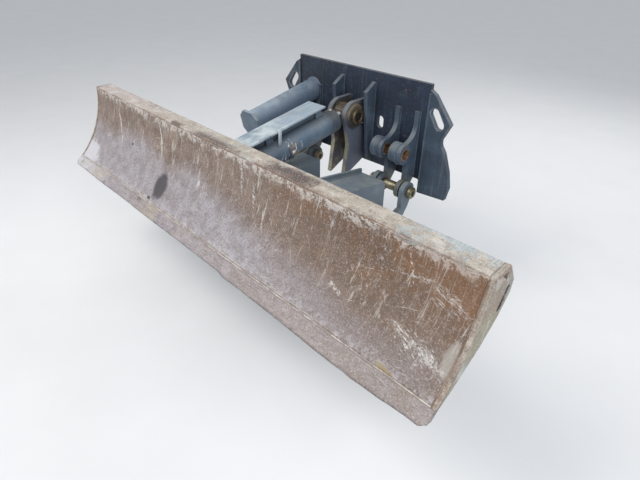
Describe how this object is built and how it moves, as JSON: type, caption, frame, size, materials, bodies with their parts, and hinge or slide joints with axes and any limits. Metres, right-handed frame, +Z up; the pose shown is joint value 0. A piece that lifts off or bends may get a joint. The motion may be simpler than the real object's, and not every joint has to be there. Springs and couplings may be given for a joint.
{
  "type": "dozer blade with lift linkage",
  "caption": "Curved dozer blade on two hinged push arms, raised by a central lift cylinder, with the chassis-end bracket that carries it.",
  "frame": {"origin": "middle of the chassis-end bracket's flat back face, where it meets the machine's chassis", "axes": "+Y out of that face toward the machine, +X along the blade, +Z up, with the blade raised in front at -Y"},
  "size_m": [2.48, 1.135, 0.677],
  "materials": {
    "chassis_paint": "worn dark blue-grey paint",
    "paint": "worn blue-grey paint",
    "pale_paint": "worn pale grey paint",
    "rusted_face": "rusted and scoured steel plate",
    "worn_steel": "scraped bare steel",
    "greased_steel": "greased steel",
    "rod_chrome": "ground and chromed"
  },
  "bodies": {
    "bracket": {"end_plate": "chassis_paint", "side_plate_left": "chassis_paint", "side_plate_right": "chassis_paint", "clevis_left": "paint", "clevis_right": "paint", "gusset_left": "paint", "gusset_right": "paint", "lug_left_outer": "paint", "lug_left_inner": "paint", "lug_right_inner": "paint", "lug_right_outer": "paint", "head_pin": "greased_steel", "hinge_pin_left": "greased_steel", "hinge_pin_right": "greased_steel", "side_tube": "paint", "side_tube_cap": "pale_paint"},
    "blade": {"mouldboard": "rusted_face", "top_rail": "worn_steel", "cutting_edge": "worn_steel", "blade_end_left": "pale_paint", "blade_end_right": "pale_paint", "back_beam": "chassis_paint", "back_ribs": "chassis_paint", "arm_box_left": "paint", "arm_box_right": "paint", "arm_lugs_left": "paint", "arm_lugs_right": "paint", "cylinder_foot": "paint", "base_lugs": "paint", "base_pin": "greased_steel"},
    "barrel": {"barrel": "paint", "base_eye": "paint", "gland": "paint", "guard_strip": "pale_paint", "guard_posts": "paint"},
    "rod": {"rod": "rod_chrome", "rod_eye": "greased_steel"}
  },
  "joints": [
    {"name": "blade_lift", "type": "hinge", "parent": "bracket", "child": "blade", "pos_m": [0, -0.1, -0.283], "axis": [1, 0, 0], "range_deg": [0, 40]},
    {"name": "barrel_swing", "type": "hinge", "parent": "blade", "child": "barrel", "pos_m": [0, -0.754, -0.07568], "axis": [1, 0, 0], "range_deg": [-5.96, 0]},
    {"name": "rod_slide", "type": "slide", "parent": "barrel", "child": "rod", "axis": [0, 0.9877, 0.1564], "range_m": [0, 0.199]}
  ],
  "couplings": [
    {"joint": "barrel_swing", "follows": "blade_lift", "ratio": -0.1482},
    {"joint": "rod_slide", "follows": "blade_lift", "m_per_rad": 0.2847}
  ]
}
